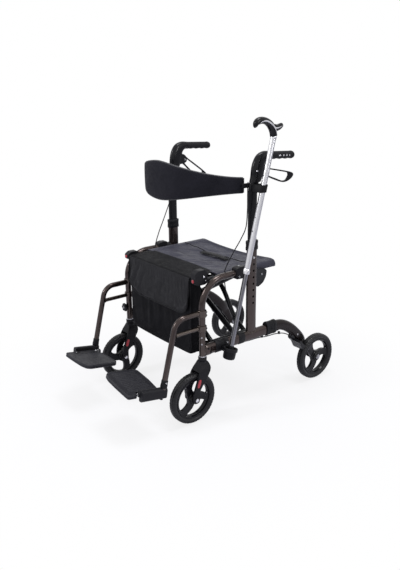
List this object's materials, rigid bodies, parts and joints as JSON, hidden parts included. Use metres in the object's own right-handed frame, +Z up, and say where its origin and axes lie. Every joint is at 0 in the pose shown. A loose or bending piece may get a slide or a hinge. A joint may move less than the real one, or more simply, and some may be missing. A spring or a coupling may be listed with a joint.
{
  "type": "rollator transport chair",
  "caption": "Folding rollator that is also a transport chair, with cloth seat, curved backrest, swing-away footrests, bag, loop brakes and a cane in its holder.",
  "frame": {"origin": "middle of the box round the whole footprint, on the floor", "axes": "+Z up, the chair faces -Y, +X is the side of the occupant's left hand"},
  "size_m": [0.6356, 1.0165, 1.1184],
  "materials": {
    "frame_paint": "dark bronze metallic coat, glossy",
    "black_plastic": "black, fine texture",
    "steel": "bright zinc plated",
    "rubber": "black, matt",
    "bag_cloth": "charcoal woven nylon",
    "black_paint": "black powder coat, satin",
    "seat_cloth": "blue-grey woven nylon",
    "red_plastic": "red",
    "tyre": "black tread, matt",
    "pad_cloth": "blue-black nylon over foam",
    "chrome": "bright silver, polished"
  },
  "bodies": {
    "right_frame": {"base_rail_right": "frame_paint", "upright_right": "frame_paint", "front_tube_right": "frame_paint", "rear_leg_right": "black_plastic", "rear_axle_right": "steel", "upright_collar_right": "black_plastic", "brake_cable_right": "rubber", "bag": "bag_cloth"},
    "left_frame": {"base_rail_left": "frame_paint", "upright_left": "frame_paint", "front_tube_left": "frame_paint", "rear_leg_left": "black_plastic", "rear_axle_left": "steel", "upright_collar_left": "black_plastic", "brake_cable_left": "rubber", "cane_cup": "black_plastic"},
    "brace_b": {"brace_arm_right": "black_paint", "brace_pivot_bolt": "steel"},
    "brace_a": {"brace_arm_left": "black_paint"},
    "seat_rail_right": {"seat_rail_right": "black_paint", "seat_fabric": "seat_cloth", "lift_strap": "black_plastic"},
    "seat_rail_left": {"seat_rail_left": "black_paint"},
    "bag_flap": {"bag_flap": "bag_cloth"},
    "handle_left": {"handle_post_left": "black_paint", "handle_housing_left": "black_plastic", "grip_left": "rubber"},
    "brake_lever_left": {"brake_lever_left": "black_plastic"},
    "brake_shoe_left": {"brake_shoe_left": "black_paint"},
    "height_button_left": {"height_button_left": "steel"},
    "release_button_left": {"release_button_left": "red_plastic"},
    "rear_wheel_left": {"rear_tyre_left": "tyre", "rear_rim_left": "black_plastic"},
    "caster_left": {"caster_fork_left": "black_plastic"},
    "front_wheel_left": {"front_tyre_left": "tyre", "front_rim_left": "black_plastic"},
    "legrest_left": {"legrest_hanger_left": "frame_paint"},
    "footplate_left": {"footplate_left": "black_plastic", "footplate_hinge_left": "steel"},
    "handle_right": {"handle_post_right": "black_paint", "handle_housing_right": "black_plastic", "grip_right": "rubber"},
    "brake_lever_right": {"brake_lever_right": "black_plastic"},
    "brake_shoe_right": {"brake_shoe_right": "black_paint"},
    "height_button_right": {"height_button_right": "steel"},
    "release_button_right": {"release_button_right": "red_plastic"},
    "rear_wheel_right": {"rear_tyre_right": "tyre", "rear_rim_right": "black_plastic"},
    "caster_right": {"caster_fork_right": "black_plastic"},
    "front_wheel_right": {"front_tyre_right": "tyre", "front_rim_right": "black_plastic"},
    "legrest_right": {"legrest_hanger_right": "frame_paint"},
    "footplate_right": {"footplate_right": "black_plastic", "footplate_hinge_right": "steel"},
    "backrest": {"backrest_pad": "pad_cloth"},
    "cane_lower": {"cane_lower_tube": "chrome"},
    "cane_upper": {"cane_upper_tube": "chrome", "cane_handle": "black_plastic"},
    "cane_strap": {"cane_strap": "black_plastic"},
    "star_knob": {"star_knob": "black_plastic"}
  },
  "joints": [
    {"name": "fold", "type": "hinge", "parent": "right_frame", "child": "brace_b", "pos_m": [-0.22918, 0.05815, 0.281], "axis": [0, -1, 0], "range_deg": [0, 40], "deforming": ["seat_fabric", "lift_strap", "bag", "bag_flap", "backrest_pad"]},
    {"name": "brace_cross", "type": "hinge", "parent": "brace_b", "child": "brace_a", "pos_m": [-0.00768, 0.05815, 0.4105], "axis": [0, -1, 0], "range_deg": [-80, 0]},
    {"name": "left_frame_pivot", "type": "hinge", "parent": "brace_a", "child": "left_frame", "pos_m": [0.21382, 0.05815, 0.281], "axis": [0, -1, 0], "range_deg": [0, 40]},
    {"name": "right_seat_rail_pivot", "type": "hinge", "parent": "brace_a", "child": "seat_rail_right", "pos_m": [-0.22918, 0.05815, 0.54], "axis": [0, -1, 0], "range_deg": [0, 40]},
    {"name": "left_seat_rail_pivot", "type": "hinge", "parent": "brace_b", "child": "seat_rail_left", "pos_m": [0.21382, 0.05815, 0.54], "axis": [0, -1, 0], "range_deg": [-40, 0]},
    {"name": "handle_height", "type": "slide", "parent": "right_frame", "child": "handle_right", "axis": [0, 0, 1], "range_m": [-0.182, 0], "deforming": ["brake_cable_right", "brake_cable_left"]},
    {"name": "handle_height_left", "type": "slide", "parent": "left_frame", "child": "handle_left", "axis": [0, 0, 1], "range_m": [-0.182, 0]},
    {"name": "cane_strap_slide", "type": "slide", "parent": "left_frame", "child": "cane_strap", "axis": [0, 0.2478, 0.9688], "range_m": [-0.18836, 0]},
    {"name": "backrest_flip", "type": "hinge", "parent": "handle_right", "child": "backrest", "pos_m": [-0.00768, 0.05815, 0.871], "axis": [-1, 0, 0], "range_deg": [0, 180]},
    {"name": "brake_lever_left", "type": "hinge", "parent": "handle_left", "child": "brake_lever_left", "pos_m": [0.24492, 0.12215, 0.917], "axis": [1, 0, 0], "range_deg": [0, 13], "stiffness_Nm_per_rad": 1, "springref_deg": -45.84},
    {"name": "brake_shoe_slide_left", "type": "slide", "parent": "left_frame", "child": "brake_shoe_left", "axis": [0, 0.6691, -0.7431], "range_m": [0, 0.0026]},
    {"name": "brake_lever_right", "type": "hinge", "parent": "handle_right", "child": "brake_lever_right", "pos_m": [-0.26028, 0.12215, 0.917], "axis": [1, 0, 0], "range_deg": [0, 23]},
    {"name": "brake_shoe_slide_right", "type": "slide", "parent": "right_frame", "child": "brake_shoe_right", "axis": [0, 0.6691, -0.7431], "range_m": [-0.0026, 0]},
    {"name": "rear_wheel_spin_left", "type": "hinge", "parent": "left_frame", "child": "rear_wheel_left", "pos_m": [0.27832, 0.40815, 0.1], "axis": [1, 0, 0], "continuous": true},
    {"name": "caster_swivel_left", "type": "hinge", "parent": "left_frame", "child": "caster_left", "pos_m": [0.24232, -0.18585, 0.2437], "axis": [0, 0, 1], "continuous": true},
    {"name": "front_wheel_spin_left", "type": "hinge", "parent": "caster_left", "child": "front_wheel_left", "pos_m": [0.24232, -0.23385, 0.1], "axis": [1, 0, 0], "continuous": true},
    {"name": "rear_wheel_spin_right", "type": "hinge", "parent": "right_frame", "child": "rear_wheel_right", "pos_m": [-0.29368, 0.40815, 0.1], "axis": [1, 0, 0], "continuous": true},
    {"name": "caster_swivel_right", "type": "hinge", "parent": "right_frame", "child": "caster_right", "pos_m": [-0.25768, -0.18585, 0.2437], "axis": [0, 0, 1], "continuous": true},
    {"name": "front_wheel_spin_right", "type": "hinge", "parent": "caster_right", "child": "front_wheel_right", "pos_m": [-0.25768, -0.23385, 0.1], "axis": [1, 0, 0], "continuous": true},
    {"name": "legrest_swing_left", "type": "hinge", "parent": "left_frame", "child": "legrest_left", "pos_m": [0.24492, -0.18585, 0.372], "axis": [0, 0, -1], "range_deg": [-90, 0]},
    {"name": "footplate_fold_left", "type": "hinge", "parent": "legrest_left", "child": "footplate_left", "pos_m": [0.22082, -0.36585, 0.165], "axis": [0, 0.9848, -0.1736], "range_deg": [0, 82]},
    {"name": "legrest_swing_right", "type": "hinge", "parent": "right_frame", "child": "legrest_right", "pos_m": [-0.26028, -0.18585, 0.372], "axis": [0, 0, 1], "range_deg": [-90, 0]},
    {"name": "footplate_fold_right", "type": "hinge", "parent": "legrest_right", "child": "footplate_right", "pos_m": [-0.23618, -0.36585, 0.165], "axis": [0, -0.9848, 0.1736], "range_deg": [0, 88]},
    {"name": "cane_lift", "type": "slide", "parent": "left_frame", "child": "cane_lower", "axis": [0, 0.2478, 0.9688], "range_m": [0, 0.06]},
    {"name": "cane_telescope", "type": "slide", "parent": "cane_lower", "child": "cane_upper", "axis": [0, 0.2478, 0.9688], "range_m": [-0.15, 0]},
    {"name": "height_button_push_left", "type": "slide", "parent": "left_frame", "child": "height_button_left", "axis": [-1, 0, 0], "range_m": [0, 0.0025], "stiffness_N_per_m": 400, "springref_m": -0.004},
    {"name": "release_button_push_left", "type": "slide", "parent": "seat_rail_left", "child": "release_button_left", "axis": [0, 1, 0], "range_m": [0, 0.003], "stiffness_N_per_m": 400, "springref_m": -0.004},
    {"name": "height_button_push_right", "type": "slide", "parent": "right_frame", "child": "height_button_right", "axis": [1, 0, 0], "range_m": [0, 0.0025], "stiffness_N_per_m": 400, "springref_m": -0.004},
    {"name": "release_button_push_right", "type": "slide", "parent": "seat_rail_right", "child": "release_button_right", "axis": [0, 1, 0], "range_m": [0, 0.003], "stiffness_N_per_m": 400, "springref_m": -0.004},
    {"name": "bag_flap_open", "type": "hinge", "parent": "right_frame", "child": "bag_flap", "pos_m": [-0.00768, -0.20435, 0.556], "axis": [-1, 0, 0], "range_deg": [0, 110]},
    {"name": "star_knob_turn", "type": "hinge", "parent": "right_frame", "child": "star_knob", "pos_m": [-0.26028, -0.19865, 0.317], "axis": [0, 1, 0], "range_deg": [0, 270]}
  ],
  "couplings": [
    {"joint": "brace_cross", "follows": "fold", "ratio": -2},
    {"joint": "left_frame_pivot", "follows": "fold", "ratio": 1},
    {"joint": "right_seat_rail_pivot", "follows": "fold", "ratio": 1},
    {"joint": "left_seat_rail_pivot", "follows": "fold", "ratio": -1},
    {"joint": "handle_height_left", "follows": "handle_height", "ratio": 1},
    {"joint": "cane_strap_slide", "follows": "handle_height", "ratio": 1.0322},
    {"joint": "brake_shoe_slide_left", "follows": "brake_lever_left", "m_per_rad": 0.011459},
    {"joint": "brake_shoe_slide_right", "follows": "brake_lever_right", "m_per_rad": -0.006477},
    {"joint": "footplate_fold_left", "follows": "fold", "ratio": 2.05},
    {"joint": "footplate_fold_right", "follows": "fold", "ratio": 2.2}
  ]
}
